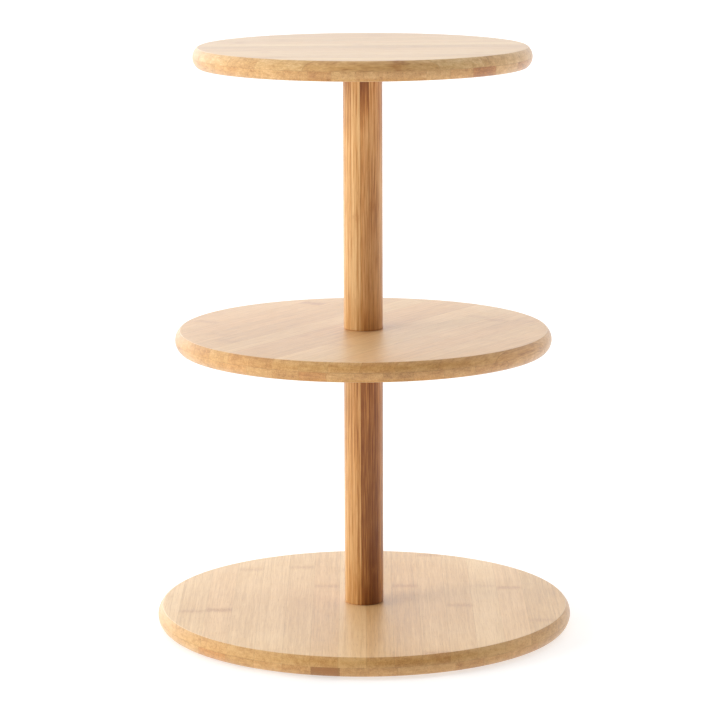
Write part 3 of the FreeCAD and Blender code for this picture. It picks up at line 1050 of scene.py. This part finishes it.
# %% Floor
FLOOR_RADIUS = 45.0
PAPER = [(0.2, grey(0.53)), (0.8, grey(0.57))]
PAPER_GLOW = 1.25
NEAR_STAND = (400, 2500)  # mm from the stand, between which the glow grows to its full strength
PAPER_RELIEF = 0.05 * MM
floor_mesh = bmesh.new()
bmesh.ops.create_circle(floor_mesh, cap_ends=True, segments=128, radius=FLOOR_RADIUS)
floor_data = bpy.data.meshes.new("floor")
floor_mesh.to_mesh(floor_data)
floor_mesh.free()
floor = bpy.data.objects.new("floor", floor_data)
bpy.context.scene.collection.objects.link(floor)
paper, shader, place = new_material("paper_floor")
mottle = place.noise(3, 0.6, scale=0.01)
white = mottle.ramp(PAPER)
feed(shader, "Base Color", white)
feed(shader, "Roughness", 0.85 + (mottle - 0.5) * 0.1)
emboss(shader, place.noise(3, 0.6, scale=0.4), PAPER_RELIEF)
away = place.make("ShaderNodeVectorMath", {0: place}, "Value", operation="LENGTH").fade(*NEAR_STAND)
feed(shader, "Emission Color", white.stained(grey(0.85), 1 - away))
shader.inputs["Emission Strength"].default_value = PAPER_GLOW
floor.data.materials.append(paper)
print(f"floor {2 * FLOOR_RADIUS:.0f} m across")

# %% [markdown]
# ## The room
#
# The room is white, but dark on the camera's side, as the unlit end of a studio is. That is what
# gives the fronts of the posts and rims their depth, while the plates, seen at a low angle, mirror
# the bright far side. The wall on the left is bright too, the right one is a little duller, and far
# to the left is a brighter patch, like a window.

# %% Room
DARK_FRONT, WHITE_WALL, CEILING, WINDOW = grey(0.08), grey(1.33), grey(1.2), grey(2.0)
DULL_RIGHT = grey(0.78)
world = bpy.data.worlds.new("studio")
bpy.context.scene.world = world
world.use_nodes = True
background = world.node_tree.nodes["Background"]
direction = Wire(world.node_tree.nodes.new("ShaderNodeTexCoord").outputs["Generated"])
x, y, z = direction.split()  # right, away from the camera, and up
far = y.at_least(y * 0.9 - x * 0.4).fade(-0.7, 0.3)
overhead = (z * 0.8 + y * 0.6).fade(0.2, 0.9)
window = (y * 0.8 - x * 0.6).fade(0.75, 0.98)
room = far.ramp([(0, DARK_FRONT), (1, WHITE_WALL)]).towards(CEILING, overhead)
room = room.stained(DULL_RIGHT, x.fade(0.1, 0.9)).towards(WINDOW, window)
world.node_tree.links.new(room.socket, background.inputs["Color"])
background.inputs["Strength"].default_value = 1.0
print(f"room from {DARK_FRONT[0]} in front to {WINDOW[0]} at the window")

# %% [markdown]
# ## The lights
#
# A big soft box on the left does most of the work, and a weak one on the right lifts the shadows.
# They are kept out of reflections. A plate mirrors what is beyond it, and from the side a box would
# bleach half of it.

# %% Lights
BOX_WIDTH = 1.2


def soft_light(name, place, target, watts):
    """A square soft box at a place, facing a target."""
    data = bpy.data.lights.new(name, "AREA")
    data.shape = "SQUARE"
    data.size = BOX_WIDTH
    data.energy = watts
    lamp = bpy.data.objects.new(name, data)
    lamp.location = place
    aim = Vector(target) - Vector(place)
    lamp.rotation_euler = aim.to_track_quat("-Z", "Y").to_euler()
    lamp.visible_glossy = False
    bpy.context.scene.collection.objects.link(lamp)
    print(f"{name}: {watts} W, {aim.length:.1f} m away")


soft_light("left_box", (-2.0, -0.6, 0.75), (0, 0, 0.2), watts=27)
soft_light("right_box", (2.2, 0.4, 0.7), (0, 0, 0.2), watts=6)

# %% [markdown]
# ## The camera
#
# A long lens a little above the top plate, tilted down by eleven degrees and rolled by a fifth of
# one, as a camera on a tripod easily is. A long lens keeps the three ellipses nearly the same shape,
# and from this height the underside of no plate shows.

# %% Camera
LENS = 152.6
DISTANCE = 2.156
EYE_LEVEL = 0.6034
TILT_DOWN = 10.735
ROLL = 0.19
AIM_LEFT = 0.03
lens = bpy.data.cameras.new("camera")
lens.lens = LENS
lens.sensor_width = 36
lens.clip_end = 60
camera = bpy.data.objects.new("camera", lens)
camera.location = (0, -DISTANCE, EYE_LEVEL)
camera.rotation_euler = [math.radians(angle) for angle in (90 - TILT_DOWN, ROLL, AIM_LEFT)]
bpy.context.scene.collection.objects.link(camera)
bpy.context.scene.camera = camera
bpy.context.scene.view_settings.view_transform = "Standard"
print(f"camera {DISTANCE} m in front, {LENS} mm lens")

# %% [markdown]
